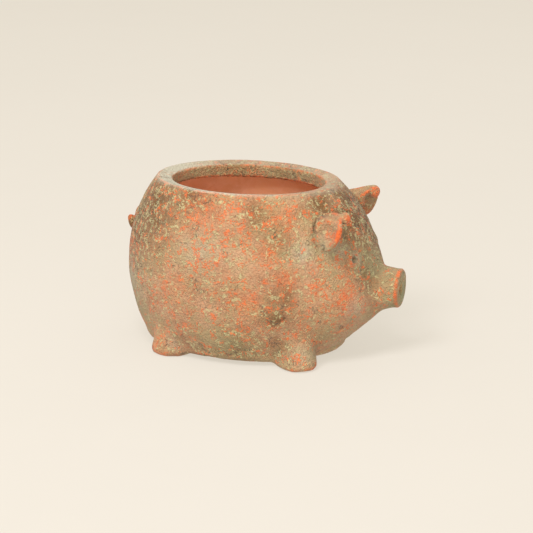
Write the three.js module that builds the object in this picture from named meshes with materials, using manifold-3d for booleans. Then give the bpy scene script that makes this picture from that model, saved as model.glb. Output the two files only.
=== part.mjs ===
// A pig-shaped planter of unglazed terracotta: an open pot with snout, ears, eyes, feet and tail.
// Millimetres, +Z up, +X towards the snout. The origin is on the ground, under the middle of
// the planter's length. Shapes are worked out around the mouth's own vertical axis (mouthX).

import * as THREE from 'three';
import { LoftGeometry } from 'three/addons/geometries/LoftGeometry.js';
import { mergeVertices } from 'three/addons/utils/BufferGeometryUtils.js';
import Module from 'manifold-3d';

const wasm = await Module();
wasm.setup();

// ---- Driving dimensions ------------------------------------------------------------------

const mouthX = -13.4;          // the mouth's axis lies this far from the middle of the length
const jointGap = 0.3;          // between a luted piece and the pot
const rootDepth = 5;           // how deep a luted pad starts inside the pot's skin
const edgeMiddle = 1 - Math.SQRT1_2;   // the middle of a rounded edge, as a part of its radius

// How many sides the round sections have.
const sides = { pot: 60, snout: 40, ear: 31, foot: 28, eye: 20 };

// The pot: an egg whose rear, sides and front swell by their own amounts.
const belly = { z: 67, halfHeight: 114, rear: 104, side: 78.5 };
const chest = { z: 73, halfHeight: 98, reach: 112.5 };
const swellings = [
  { z: 44, height: 12, halfHeight: 24, halfAngle: 0.6 },      // the chin
  { z: 80, height: 5, halfHeight: 18, halfAngle: 0.45 },      // the bridge of the nose
];
const base = { z: 3.4, edgeRadius: 6 };
const wall = 8;
const floorZ = 12;
const floorRadius = 14;

// The band round the mouth.
const rim = { bottom: 133.4, top: 143.8, width: 10, fall: 2, edgeRadius: 1.4 };

// The snout, a drum with its axis along X.
const snout = {
  z: 58.6,
  root: 96,
  end: 134.5,
  halfWidth: 18.2,
  halfHeight: 17.4,
  flare: 0.7,                  // how much wider the root is than the end
  flareBend: 1.5,              // how late the flare comes, going back from the end
  collar: 5,                   // the length of the thicker end
  collarHeight: 0.4,           // how far the collar stands out
  edgeRadius: 2,
};
const nostril = { side: 7.5, rise: 1, halfWidth: 2.1, halfHeight: 4.2, depth: 3 };

// The ears: hoods that open forwards, from a root inside the head. This is the right one, at -Y.
const ear = {
  root: { x: 70, y: -40, z: 114, across: 9, up: 12 },
  thickness: 4.2,
  rootThickness: 6,            // what the wall gains from the rim to the root
  hollow: 0.6,                 // the part of its length that is hollow
  overcut: 0.3,                // how far the hollow's cutter goes on past the rim
};
// The hood's rim, from its inner end over the folded tip and down the outside.
const earRim = [
  new THREE.Vector3(92, -32, 117),
  new THREE.Vector3(98, -35, 127),
  new THREE.Vector3(101, -40, 131.5),
  new THREE.Vector3(96.5, -47, 132.5),
  new THREE.Vector3(96, -55, 128),
  new THREE.Vector3(97, -58, 119),
  new THREE.Vector3(91, -57, 107),
  new THREE.Vector3(84, -50, 102),
  new THREE.Vector3(83, -37, 106),
];

// The eyes: pads with a pit pressed into them. The angle is from straight ahead.
const eye = { angle: -0.39, z: 89.6, radius: 7.5, height: 2, pitRadius: 1.9, pitDepth: 1.5 };
// Each line is a part of the radius and of the height (or the depth).
const padOutline = [[1, 0.4], [0.86, 0.8], [0.6, 1]];
const pitOutline = [[0.6, 1], [1, 0.6], [1.2, -0.6]];

// The feet: short nubs, luted under the belly. They narrow upwards and lean under the pot.
const foot = { top: 40, edgeRadius: 3, narrowing: 0.35, tuck: 0.15 };
const frontFoot = { x: 61, y: 51.5, halfLength: 17.5, halfWidth: 16, turn: -0.5, lean: 0.1 };
const rearFoot = { x: -50, y: 50, halfLength: 17.5, halfWidth: 17, turn: 0.4, lean: -0.1 };

// The tail: a rolled cord that starts inside the rump and curls about an axis along X.
// rise is how far it comes out in one turn, taper the part of the coil lost by its end.
const tail = { x: -93, z: 98.5, coil: 8.2, cord: 3.8, rise: 8.2, turns: 1.35, taper: 0.15 };

// ---- Finishes ----------------------------------------------------------------------------

function fired(color) {
  return new THREE.MeshStandardMaterial({ color, roughness: 0.9, metalness: 0 });
}

const washedClay = () => fired(0xa9886a);
const wornClay = () => fired(0xc27850);

// ---- Solids ------------------------------------------------------------------------------

// A closed geometry as a solid that can be joined and cut.
function toSolid(geometry) {
  const plain = new THREE.BufferGeometry();
  plain.setAttribute('position', geometry.getAttribute('position').clone());
  if (geometry.index) plain.setIndex(geometry.index.clone());
  const merged = mergeVertices(plain, 1e-4);
  const vertProperties = new Float32Array(merged.getAttribute('position').array);
  const triVerts = new Uint32Array(merged.index.array);
  return new wasm.Manifold(new wasm.Mesh({ numProp: 3, vertProperties, triVerts }));
}

function toGeometry(solid) {
  const mesh = solid.getMesh();
  const geometry = new THREE.BufferGeometry();
  geometry.setAttribute('position', new THREE.BufferAttribute(mesh.vertProperties, 3));
  geometry.setIndex(new THREE.BufferAttribute(mesh.triVerts, 1));
  geometry.computeVertexNormals();
  return geometry;
}

function capped(sections) {
  return toSolid(new LoftGeometry(sections, { capStart: true, capEnd: true }));
}

// Points of a closed section, one for each angle, going round once.
function around(count, pointAt) {
  const points = [];
  for (let i = 0; i < count; i++) {
    points.push(pointAt((i / count) * Math.PI * 2));
  }
  return points;
}

// count values from first to last, both included.
function spread(first, last, count) {
  const values = [];
  for (let i = 0; i < count; i++) {
    values.push(first + ((last - first) * i) / (count - 1));
  }
  return values;
}

// ---- The pot's own form ------------------------------------------------------------------

function bulge(z, middle, halfHeight) {
  return Math.sqrt(1 - ((z - middle) / halfHeight) ** 2);
}

// A point of the pot's outside at an angle from +X and a height, moved outwards by grow.
function potPoint(angle, z, grow = 0) {
  const plump = bulge(z, belly.z, belly.halfHeight);
  const front = chest.reach * bulge(z, chest.z, chest.halfHeight);
  const turn = angle > Math.PI ? angle - 2 * Math.PI : angle;
  let swell = 0;
  for (const { z: middle, height, halfHeight, halfAngle } of swellings) {
    swell += height * Math.exp(-(((z - middle) / halfHeight) ** 2) - (turn / halfAngle) ** 2);
  }
  const length = Math.cos(angle) > 0 ? front : belly.rear * plump;
  const x = (length + swell + grow) * Math.cos(angle);
  const y = (belly.side * plump + swell + grow) * Math.sin(angle);
  return new THREE.Vector3(x, y, z);
}

function potSection(z, grow) {
  return around(sides.pot, (angle) => potPoint(angle, z, grow));
}

// Sections from a rounded bottom edge at bottomZ up to topZ. grow moves the sides outwards.
// A hollow's rounded edge keeps the pot's outline at each height, so the wall stays full there.
function potSections(bottomZ, topZ, edgeRadius, grow, rows, isHollow = false) {
  const sections = [];
  for (const bend of spread(0, Math.PI / 2, 4)) {
    const inset = edgeRadius * (1 - Math.sin(bend));
    const rise = edgeRadius * (1 - Math.cos(bend));
    const outlineZ = bottomZ + (isHollow ? rise : edgeRadius);
    sections.push(around(sides.pot, (angle) => {
      const point = potPoint(angle, outlineZ, grow - inset);
      point.z = bottomZ + rise;
      return point;
    }));
  }
  for (const z of spread(bottomZ + edgeRadius, topZ, rows).slice(1)) {
    sections.push(potSection(z, grow));
  }
  return sections;
}

// The whole outside as a solid, a joint's gap larger, which cuts the luted pieces.
function potCutter() {
  return capped(potSections(base.z - jointGap, rim.top, base.edgeRadius, jointGap, 14));
}

function potBody() {
  const outside = capped(potSections(base.z, rim.bottom - jointGap, base.edgeRadius, 0, 13));
  const inside = capped(potSections(floorZ, rim.bottom, floorRadius, -wall, 9, true));
  return toGeometry(outside.subtract(inside));
}

// The mouth's band: its outside follows the egg, its inside is upright, its top falls inwards.
function mouthRim() {
  const r = rim.edgeRadius;
  const innerTop = rim.top - rim.fall;
  const ring = (z, outlineZ, inset) => around(sides.pot, (angle) => {
    const point = potPoint(angle, outlineZ, -inset);
    point.z = z;
    return point;
  });
  const sections = [
    ring(rim.bottom, rim.bottom, 0),
    ring(rim.top - r, rim.top - r, 0),
    ring(rim.top - r * edgeMiddle, rim.top, r * edgeMiddle),
    ring(rim.top, rim.top, r),
    ring(innerTop, rim.top, rim.width - r),
    ring(innerTop - r * edgeMiddle, rim.top, rim.width - r * edgeMiddle),
    ring(innerTop - r, rim.top, rim.width),
    ring(rim.bottom, rim.top, rim.width),
  ];
  sections.push(sections[0]);
  return toGeometry(toSolid(new LoftGeometry(sections)));
}

// ---- The luted pieces --------------------------------------------------------------------

const pot = potCutter();

function luted(solid) {
  return toGeometry(solid.subtract(pot));
}

function snoutDrum() {
  const r = snout.edgeRadius;
  const drumLength = snout.end - snout.root;
  const flare = (x) => 1 + snout.flare * ((snout.end - x) / drumLength) ** snout.flareBend;
  const section = (x, inset) => around(sides.snout, (angle) => {
    const across = (snout.halfWidth * flare(x) - inset) * Math.cos(angle);
    const up = (snout.halfHeight * flare(x) - inset) * Math.sin(angle);
    return new THREE.Vector3(x, across, snout.z + up);
  });
  const neck = spread(snout.root, snout.end - snout.collar, 6);
  const sections = neck.map((x) => section(x, snout.collarHeight));
  sections.push(section(snout.end - r, 0));
  sections.push(section(snout.end - r * edgeMiddle, r * edgeMiddle));
  sections.push(section(snout.end, r));
  let drum = capped(sections);
  for (const side of [-1, 1]) {
    const dimple = new THREE.SphereGeometry(1, 16, 10);
    dimple.scale(nostril.depth, nostril.halfWidth, nostril.halfHeight);
    dimple.translate(snout.end, side * nostril.side, snout.z + nostril.rise);
    drum = drum.subtract(toSolid(dimple));
  }
  return luted(drum);
}

// A section of the hood: t runs from the root (0) to the rim (1); inset makes it smaller.
function earSection(outline, t, inset) {
  const { root } = ear;
  const middle = new THREE.Vector3();
  for (const point of outline) middle.addScaledVector(point, 1 / outline.length);
  return outline.map((point) => {
    const toRim = point.clone().sub(middle);
    const length = Math.hypot(toRim.y, toRim.z);
    const rootY = root.y + (root.across * toRim.y) / length;
    const rootZ = root.z + (root.up * toRim.z) / length;
    const section = new THREE.Vector3(root.x, rootY, rootZ).lerp(point, t);
    section.y -= (inset * toRim.y) / length;
    section.z -= (inset * toRim.z) / length;
    return section;
  });
}

function earHood() {
  const closedRim = new THREE.CatmullRomCurve3(earRim, true).getSpacedPoints(sides.ear + 1);
  const outline = closedRim.slice(0, -1);
  const wallAt = (t) => ear.thickness + ear.rootThickness * (1 - t);
  const skin = spread(0, 1, 7).map((t) => earSection(outline, t, 0));
  const hollow = spread(1 - ear.hollow, 1, 5).map((t) => earSection(outline, t, wallAt(t)));
  hollow.push(earSection(outline, 1 + ear.overcut, ear.thickness));
  return luted(capped(skin).subtract(capped(hollow)));
}

// The direction straight out of the pot at an angle and height.
function potNormal(angle, z) {
  const step = 0.01;
  const round = potPoint(angle + step, z).sub(potPoint(angle - step, z));
  const up = potPoint(angle, z + step).sub(potPoint(angle, z - step));
  return round.cross(up).normalize();
}

// A pad on the pot's skin, rounded over, with a round pit pressed into its middle.
function eyePad() {
  const middle = potPoint(eye.angle, eye.z);
  const upright = new THREE.Vector3(0, 0, 1);
  const turn = new THREE.Quaternion().setFromUnitVectors(upright, potNormal(eye.angle, eye.z));
  const ring = (radius, height) => around(sides.eye, (angle) => {
    const point = new THREE.Vector3(radius * Math.cos(angle), radius * Math.sin(angle), height);
    return point.applyQuaternion(turn).add(middle);
  });
  const pad = [ring(eye.radius, -rootDepth)];
  for (const [width, rise] of padOutline) {
    pad.push(ring(eye.radius * width, eye.height * rise));
  }
  const pit = pitOutline.map(([width, drop]) => (
    ring(eye.pitRadius * width, eye.height - eye.pitDepth * drop)
  ));
  return luted(capped(pad).subtract(capped(pit)));
}

// A nub with a flat sole, for the right side (-Y).
function footNub(at) {
  const r = foot.edgeRadius;
  const section = (z, inset) => around(sides.foot, (angle) => {
    const narrowing = 1 - foot.narrowing * (z / foot.top) ** 2;
    const along = (at.halfLength - inset) * narrowing * Math.cos(angle);
    const across = (at.halfWidth - inset) * narrowing * Math.sin(angle);
    const x = at.x - at.lean * z + along * Math.cos(at.turn) - across * Math.sin(at.turn);
    const y = -at.y + foot.tuck * z + along * Math.sin(at.turn) + across * Math.cos(at.turn);
    return new THREE.Vector3(x, y, z);
  });
  const edge = r * edgeMiddle;
  const sections = [section(0, r), section(edge, edge), section(r, 0)];
  for (const z of spread(r, foot.top, 5).slice(1)) {
    sections.push(section(z, 0));
  }
  return luted(capped(sections));
}

// The curl runs out of the rump, round and a bit, rising away from the pot.
class TailCurve extends THREE.Curve {
  getPoint(t, target = new THREE.Vector3()) {
    const angle = -Math.PI / 2 - t * tail.turns * 2 * Math.PI;
    const out = tail.rise * tail.turns * t;
    const radius = tail.coil * (1 - tail.taper * t);
    const across = radius * Math.cos(angle);
    const up = radius * Math.sin(angle);
    return target.set(tail.x - out, across, tail.z + up);
  }
}

function tailCurl() {
  const section = new THREE.Shape();
  section.absarc(0, 0, tail.cord, 0, Math.PI * 2);
  const cord = new THREE.ExtrudeGeometry(section, {
    extrudePath: new TailCurve(),
    steps: 40,
    curveSegments: 10,
    bevelEnabled: false,
  });
  return luted(toSolid(cord));
}

// ---- Assembly ----------------------------------------------------------------------------

const planter = new THREE.Group();
planter.position.x = mouthX;

function place(name, geometry, material, mirrored = false) {
  const mesh = new THREE.Mesh(geometry, material);
  mesh.name = name;
  if (mirrored) mesh.scale.y = -1;
  planter.add(mesh);
}

place('pot_body', potBody(), washedClay());
place('mouth_rim', mouthRim(), washedClay());
place('snout', snoutDrum(), washedClay());
place('tail', tailCurl(), wornClay());

const pairs = [
  ['ear', earHood(), wornClay],
  ['eye', eyePad(), washedClay],
  ['foot_front', footNub(frontFoot), washedClay],
  ['foot_rear', footNub(rearFoot), washedClay],
];
for (const [name, geometry, finish] of pairs) {
  place(`${name}_right`, geometry, finish());
  place(`${name}_left`, geometry, finish(), true);
}

export default planter;
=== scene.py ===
import math

import bmesh
import bpy
import numpy as np
import openvdb
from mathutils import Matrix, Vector


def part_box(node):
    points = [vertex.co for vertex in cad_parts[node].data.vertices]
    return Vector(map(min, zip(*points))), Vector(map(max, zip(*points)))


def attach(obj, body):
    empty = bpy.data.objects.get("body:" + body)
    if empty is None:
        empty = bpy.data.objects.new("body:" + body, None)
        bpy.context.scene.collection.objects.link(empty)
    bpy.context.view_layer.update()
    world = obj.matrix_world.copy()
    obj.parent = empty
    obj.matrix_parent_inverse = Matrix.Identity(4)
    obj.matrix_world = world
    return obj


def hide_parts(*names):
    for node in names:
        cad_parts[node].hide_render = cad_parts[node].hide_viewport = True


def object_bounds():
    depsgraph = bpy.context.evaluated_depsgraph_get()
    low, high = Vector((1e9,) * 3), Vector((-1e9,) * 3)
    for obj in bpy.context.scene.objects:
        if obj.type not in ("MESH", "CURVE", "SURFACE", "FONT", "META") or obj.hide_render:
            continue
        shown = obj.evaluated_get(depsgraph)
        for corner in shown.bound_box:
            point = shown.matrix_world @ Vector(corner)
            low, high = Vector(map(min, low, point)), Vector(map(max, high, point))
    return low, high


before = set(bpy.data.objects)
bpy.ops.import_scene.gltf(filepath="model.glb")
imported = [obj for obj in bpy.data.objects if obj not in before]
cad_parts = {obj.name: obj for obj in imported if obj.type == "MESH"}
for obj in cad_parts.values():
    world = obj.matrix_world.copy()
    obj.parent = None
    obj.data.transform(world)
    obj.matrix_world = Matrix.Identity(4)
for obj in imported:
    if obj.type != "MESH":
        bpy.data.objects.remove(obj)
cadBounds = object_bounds()

# The planter is one fired piece of clay. Each luted piece is shaped on its own, all of them are
# pressed together into one skin with soft joints, the skin gets its relief and its ageing, and it
# is then parted again along the joints, so that every piece stands for its own CAD node.
# Lengths in the clay's settings are millimetres. The finished meshes are turned into metres.

mm = 0.001
clay = dict(pitch=1.3, reach=8, margin=8,     # grid pitch, cells of distance kept, room around
            above=12, rollRoom=34)            # how far cuts pass the rim, room around a roll of clay


def stand(name, data):                # an object in the scene
    holder = bpy.data.objects.new(name, data)
    bpy.context.scene.collection.objects.link(holder)
    return holder


def boxOf(node):
    low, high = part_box(node)
    return np.array(low) / mm, np.array(high) / mm


lowest, highest = (np.array(corner) / mm for corner in cadBounds)
print("planter in the frame, mm:", lowest.round(1), highest.round(1))
firstCell = np.floor((lowest - clay["margin"]) / clay["pitch"]).astype(int)
cellCounts = np.ceil((highest + clay["margin"]) / clay["pitch"]).astype(int) - firstCell
gridX, gridY, gridZ = (
    ((firstCell[axis] + np.arange(cellCounts[axis])) * clay["pitch"]).astype(np.float32)
    for axis in range(3)
)
cellX, cellY, cellZ = np.meshgrid(gridX, gridY, gridZ, indexing="ij")


# Working with clay: skins become fields of distance, and fields are pressed together.

def loft(rings):
    rings = np.asarray(rings, float)
    rows, count, _ = rings.shape
    start = np.arange(rows - 1)[:, None] * count
    here = np.arange(count)[None, :]
    following = (here + 1) % count
    corners = [start + here, start + following, start + count + following, start + count + here]
    quads = np.stack(corners, -1).reshape(-1, 4)
    points = np.vstack([rings.reshape(-1, 3), rings[0].mean(0), rings[-1].mean(0)])
    first, last = rows * count, rows * count + 1
    ends = []
    for centre, row in ((first, 0), (last, rows - 1)):
        ring = row * count + np.arange(count)
        ends.append(np.stack([ring, np.roll(ring, -1), np.full(count, centre)], -1))
    return points, quads, np.vstack(ends)


def distanceTo(skin):
    points, quads, triangles = skin
    grid = openvdb.FloatGrid.createLevelSetFromPolygons(
        points.astype(np.float32),
        triangles=triangles.astype(np.uint32),
        quads=quads.astype(np.uint32),
        transform=openvdb.createLinearTransform(clay["pitch"]),
        halfWidth=float(clay["reach"]),
    )
    field = np.zeros(tuple(cellCounts), np.float32)
    grid.copyToArray(field, ijk=tuple(int(cell) for cell in firstCell))
    return field


def press(a, b, softness):            # joins two pieces with a fillet
    near = np.maximum(softness - np.abs(a - b), 0) / softness
    return np.minimum(a, b) - near ** 3 * softness / 6


def cutAway(a, b, softness):          # takes b out of a, with rounded lips
    return -press(-a, b, softness)


def trim(a, b, softness):             # keeps what lies in both
    return -press(-a, -b, softness)


def turned(x, y, z, angle):           # turns about the upright axis
    c, s = math.cos(angle), math.sin(angle)
    return x * c + y * s, -x * s + y * c, z


def aroundPoint(middle, reach):       # the cells near a point, as slices
    cut = []
    for axis, line in enumerate((gridX, gridY, gridZ)):
        first = np.searchsorted(line, middle[axis] - reach)
        last = np.searchsorted(line, middle[axis] + reach)
        cut.append(slice(max(first - 1, 0), last + 1))
    return tuple(cut)


def pellet(cut, middle, radii, turn=0.0, tilt=0.0):      # an egg of clay, or the dent it leaves
    x, y, z = turned(cellX[cut] - middle[0], cellY[cut] - middle[1], cellZ[cut] - middle[2], turn)
    c, s = math.cos(tilt), math.sin(tilt)
    x, z = x * c + z * s, -x * s + z * c
    rx, ry, rz = radii
    near = np.sqrt((x / rx) ** 2 + (y / ry) ** 2 + (z / rz) ** 2) + 1e-6
    slope = np.sqrt((x / rx ** 2) ** 2 + (y / ry ** 2) ** 2 + (z / rz ** 2) ** 2) + 1e-6
    return near * (near - 1) / slope


def addPellet(field, middle, radii, softness, turn=0.0, tilt=0.0):
    cut = aroundPoint(middle, max(radii) + softness + 2)
    field[cut] = press(field[cut], pellet(cut, middle, radii, turn, tilt), softness)


def cord(cut, line, thickness):       # a roll of clay along a line, with its thickness on the way
    here = np.stack([cellX[cut], cellY[cut], cellZ[cut]], -1)
    field = np.full(here.shape[:3], clay["pitch"] * clay["reach"], np.float32)
    for a, b, thickA, thickB in zip(line[:-1], line[1:], thickness[:-1], thickness[1:]):
        along = b - a
        share = np.clip((here - a) @ along / (along @ along), 0, 1)
        away = np.linalg.norm(here - a - share[..., None] * along, axis=-1)
        field = np.minimum(field, away - thickA - (thickB - thickA) * share)
    return field


def dent(field, middle, radii, softness, turn=0.0, tilt=0.0):
    cut = aroundPoint(middle, max(radii) + softness + 2)
    field[cut] = cutAway(field[cut], pellet(cut, middle, radii, turn, tilt), softness)


# The pot's egg, as the frame has it: its rear, sides and front swell by their own amounts.

egg = dict(middle=67, halfHeight=114, rear=104, side=78.5, chest=73, chestHalf=98, reach=112.5,
           wall=8.5, floor=12, floorRadius=14, footRadius=6, sides=180, rows=45, bends=8)
swellings = [
    dict(z=44, height=12, up=24, round=0.6),       # the chin
    dict(z=77, height=3.4, up=16, round=0.45),     # the bridge of the nose
]
lip = dict(width=10, fall=2.4, fallReach=1.2, softness=1.1, underSoftness=0.9, innerSoftness=1.5,
           deeper=2.6, below=6, lengthShare=0.972, forward=0.4)

potLow = boxOf("pot_body")[0]
rimLow, rimHigh = boxOf("mouth_rim")


def plump(z):
    return math.sqrt(1 - ((z - egg["middle"]) / egg["halfHeight"]) ** 2)


mouthX = rimLow[0] + egg["rear"] * plump(rimLow[2])      # the mouth's axis in the frame
ceiling = rimLow[2] - lip["deeper"]                      # where the band ends and the hollow widens


def potPoints(angles, z, grow=0.0, height=None):
    wide = plump(z)
    front = egg["reach"] * math.sqrt(1 - ((z - egg["chest"]) / egg["chestHalf"]) ** 2)
    turn = (angles + math.pi) % (2 * math.pi) - math.pi
    swell = np.zeros_like(angles)
    for s in swellings:
        swell += s["height"] * np.exp(-((z - s["z"]) / s["up"]) ** 2 - (turn / s["round"]) ** 2)
    length = np.where(np.cos(angles) > 0, front, egg["rear"] * wide)
    x = mouthX + (length + swell + grow) * np.cos(angles)
    y = (egg["side"] * wide + swell + grow) * np.sin(angles)
    return np.stack([x, y, np.full_like(x, z if height is None else height)], -1)


def potRing(z, grow=0.0, height=None):
    return potPoints(np.arange(egg["sides"]) / egg["sides"] * 2 * math.pi, z, grow, height)


def potSkin(bottom, top, edge, grow, isHollow=False):
    rings = []
    for bend in np.linspace(0, math.pi / 2, egg["bends"]):
        inset = edge * (1 - math.sin(bend))
        height = bottom + edge * (1 - math.cos(bend))
        rings.append(potRing(height if isHollow else bottom + edge, grow - inset, height))
    rings += [potRing(z, grow) for z in np.linspace(bottom + edge, top, egg["rows"])[1:]]
    return loft(rings)


def spotOn(angle, z, out=0.0):        # a point of the skin, by its bearing in degrees and height
    return potPoints(np.array([math.radians(angle)]), z, out)[0]


def outwards(angle, z):
    step = 0.5
    along = spotOn(angle + step, z) - spotOn(angle - step, z)
    up = spotOn(angle, z + step) - spotOn(angle, z - step)
    out = np.cross(along, up)
    return out / np.linalg.norm(out)


potField = distanceTo(potSkin(potLow[2], rimHigh[2] + clay["above"], egg["footRadius"], 0.0))
cavityField = distanceTo(potSkin(egg["floor"], ceiling, egg["floorRadius"], -egg["wall"], True))
opening = potRing(rimHigh[2], -lip["width"])
opening[:, 0] = mouthX + (opening[:, 0] - mouthX) * lip["lengthShare"] + lip["forward"]
openingReach = (ceiling - lip["below"] - rimHigh[2], clay["above"])
openingField = distanceTo(loft([opening + (0, 0, rise) for rise in openingReach]))
print("pot shaped, cells:", potField.size)


# The snout: a drum along X, wider at its root, with a collar at its end.

snout = dict(z=59.8, drop=3, halfWidth=17.6, halfHeight=16.2, length=38, flare=0.7, flareBend=1.5,
             collar=4.5, collarHeight=0.4, edge=2.2, dome=1.4, softness=4.5,
             sides=72, necks=9, bends=6, domeShares=(0.75, 0.5, 0.25))
nostril = dict(side=7.5, rise=1, across=2.2, up=4.6, depth=3.2, out=0.8, softness=1.2)


snoutEnd = boxOf("snout")[1][0]


def shapeSnout():
    end = snoutEnd
    angles = np.arange(snout["sides"]) / snout["sides"] * 2 * math.pi

    def ring(x, inset, share=1.0):
        back = max(end - x, 0) / snout["length"]
        flare = 1 + snout["flare"] * back ** snout["flareBend"]
        y = (snout["halfWidth"] * flare - inset) * share * np.cos(angles)
        z = (snout["halfHeight"] * flare - inset) * share * np.sin(angles)
        return np.stack([np.full_like(y, x), y, snout["z"] - snout["drop"] * back + z], -1)

    neckEnd = end - snout["collar"]
    necks = np.linspace(end - snout["length"], neckEnd, snout["necks"])
    rings = [ring(x, snout["collarHeight"]) for x in necks]
    edge = snout["edge"]
    for bend in np.linspace(0, math.pi / 2, snout["bends"]):
        rings.append(ring(end - edge * (1 - math.sin(bend)), edge * (1 - math.cos(bend))))
    for share in snout["domeShares"]:
        rings.append(ring(end + snout["dome"] * (1 - share ** 2), edge, share))
    return distanceTo(loft(rings))


def pressNostrils(field):
    size = (nostril["depth"], nostril["across"], nostril["up"])
    for side in (-1, 1):
        spot = (snoutEnd + nostril["out"], side * nostril["side"], snout["z"] + nostril["rise"])
        dent(field, spot, size, nostril["softness"])


# The ears: forward-facing hoods with a folded tip, a ridge along their edge, and a thumb's dent
# with a crease round it on the outer face.
# X counts from the mouth's axis, as it does for the feet and the tail.

ear = dict(
    root=(70, -40, 114), across=9, up=12, thickness=5.2, rootThickness=6, hollow=0.62,
    rim=[(91, -35, 116), (91.5, -33, 124), (94, -35, 129), (100, -41, 132.5), (96, -48, 131),
         (95.5, -55, 127.5), (97, -57.5, 119.5), (93.5, -57.5, 109), (87, -52, 102), (84, -38, 106)],
    softness=4, innerSoftness=1.6, sides=96, rings=14, innerRings=10, through=1.3,
)
earRidge = dict(
    line=[(73, -38, 127.5), (81, -39.5, 128.5), (88, -42.5, 129.5), (93.5, -48.5, 129.5),
          (95.5, -54, 126), (96, -56.5, 119.5), (92.5, -57, 110.5), (85.5, -53.5, 103.5),
          (78, -51, 103)],
    thickness=(1.2, 2.0, 2.4, 2.5, 2.5, 2.5, 2.4, 2.0, 1.0), steps=42, softness=2.2,
)
earTip = dict(spot=(97.5, -45, 128), size=(5.2, 6, 5.4), softness=3)
earDish = dict(spot=(83.6, -55, 118), size=(5.8, 9.6, 12), turn=-1.92, softness=1.2,
               floor=(85, -54, 110), floorSize=7)
earCrease = dict(line=[(73.5, -42.5, 129.5), (73, -48.5, 118), (75.5, -52, 107), (81, -53, 101.5)],
                 thickness=(0.9, 1.4, 1.5, 1.2), steps=30, softness=1.6)


def placed(spot, side):               # from the mouth's axis to the frame, on one side
    return np.array([spot[0] + mouthX, spot[1] * side, spot[2]], float)


def bent(a, b, c, d, t):              # the rounded way from b to c, coming from a and going to d
    bend = 2 * a - 5 * b + 4 * c - d
    return 0.5 * (2 * b + (c - a) * t + bend * t ** 2 + (3 * b - a - 3 * c + d) * t ** 3)


def smoothLoop(points, count):        # a rounded line through the points, closed
    points = np.asarray(points, float)
    at = np.arange(count) / count * len(points)
    index = at.astype(int)
    t = (at - index)[:, None]
    return bent(*(points[(index + shift) % len(points)] for shift in (-1, 0, 1, 2)), t)


def smoothLine(points, count):        # the same for a line with two ends
    points = np.asarray(points, float)
    points = np.vstack([points[:1], points, points[-1:]])
    at = np.linspace(0, len(points) - 3 - 1e-6, count)
    index = at.astype(int)
    t = (at - index)[:, None]
    return bent(*(points[index + shift] for shift in range(4)), t)


def rolled(settings, side):           # the cord that one dictionary of line and thickness asks for
    line = smoothLine([placed(point, side) for point in settings["line"]], settings["steps"])
    given = np.linspace(0, 1, len(settings["thickness"]))
    thickness = np.interp(np.linspace(0, 1, settings["steps"]), given, settings["thickness"])
    cut = aroundPoint(line.mean(0), clay["rollRoom"])
    return cut, cord(cut, line, thickness)


def shapeEar(side):
    outline = smoothLoop([placed(point, side) for point in ear["rim"]], ear["sides"])
    root = placed(ear["root"], side)
    away = outline - outline.mean(0)
    away[:, 0] = 0
    away /= np.linalg.norm(away, axis=1)[:, None]

    def ring(t, inset):
        base = root + away * (0, ear["across"], ear["up"])
        return base + (outline - base) * t - away * inset

    hood = distanceTo(loft([ring(t, 0.0) for t in np.linspace(0, 1, ear["rings"])]))
    cut, ridge = rolled(earRidge, side)
    hood[cut] = press(hood[cut], ridge, earRidge["softness"])
    depths = np.linspace(1 - ear["hollow"], 1, ear["innerRings"])
    inner = [ring(t, ear["thickness"] + ear["rootThickness"] * (1 - t)) for t in depths]
    inner.append(ring(ear["through"], ear["thickness"]))
    hood = cutAway(hood, distanceTo(loft(inner)), ear["innerSoftness"])
    addPellet(hood, placed(earTip["spot"], side), earTip["size"], earTip["softness"])
    return hood


def pressThumbs(field):
    for side in (-1, 1):
        spot = placed(earDish["spot"], side)
        dent(field, spot, earDish["size"], earDish["softness"], turn=earDish["turn"] * side)
        cut, crease = rolled(earCrease, side)
        field[cut] = cutAway(field[cut], crease, earCrease["softness"])


# The eyes: soft pads with a pit pressed in, and a lid's line over them.

eye = dict(bearing=24.3, z=90.6, size=(2.0, 7.0, 8.2), softness=3,
           pit=(4.4, 3.0, 3.6), pitOut=0.3, pitSoftness=1.0)
lid = dict(count=9, reach=5.2, rise=5.0, droop=2.8, size=1.0, out=1.7, softness=1.2)


def facing(bearing, z):
    out = outwards(bearing, z)
    return math.atan2(out[1], out[0]), math.asin(out[2])


def shapeEye(side):
    bearing = -side * eye["bearing"]
    turn, tilt = facing(bearing, eye["z"])
    cut = (slice(None),) * 3
    return pellet(cut, spotOn(bearing, eye["z"]), eye["size"], turn, tilt).astype(np.float32)


def pressEyes(field):
    for side in (-1, 1):
        bearing = -side * eye["bearing"]
        turn, tilt = facing(bearing, eye["z"])
        out = outwards(bearing, eye["z"])
        middle = spotOn(bearing, eye["z"])
        pitMiddle = middle + out * (eye["size"][0] + eye["pitOut"])
        dent(field, pitMiddle, eye["pit"], eye["pitSoftness"], turn, tilt)
        along = np.array([-math.sin(turn), math.cos(turn), 0])
        for step in np.linspace(-1, 1, lid["count"]):
            rise = lid["rise"] - lid["droop"] * step ** 2
            spot = middle + along * lid["reach"] * step + np.array([0, 0, rise]) + out * lid["out"]
            dent(field, spot, (lid["size"],) * 3, lid["softness"])


# The feet: paws that melt into the belly.

paw = dict(top=36, edge=4.5, narrowing=0.55, tuck=0.15, softness=10, sides=72, bends=7, rings=12)
frontPaw = dict(x=61, y=51.5, length=17.5, width=16, turn=-0.5, lean=0.1)
rearPaw = dict(x=-50, y=50, length=17.5, width=17, turn=0.4, lean=-0.1)


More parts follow.
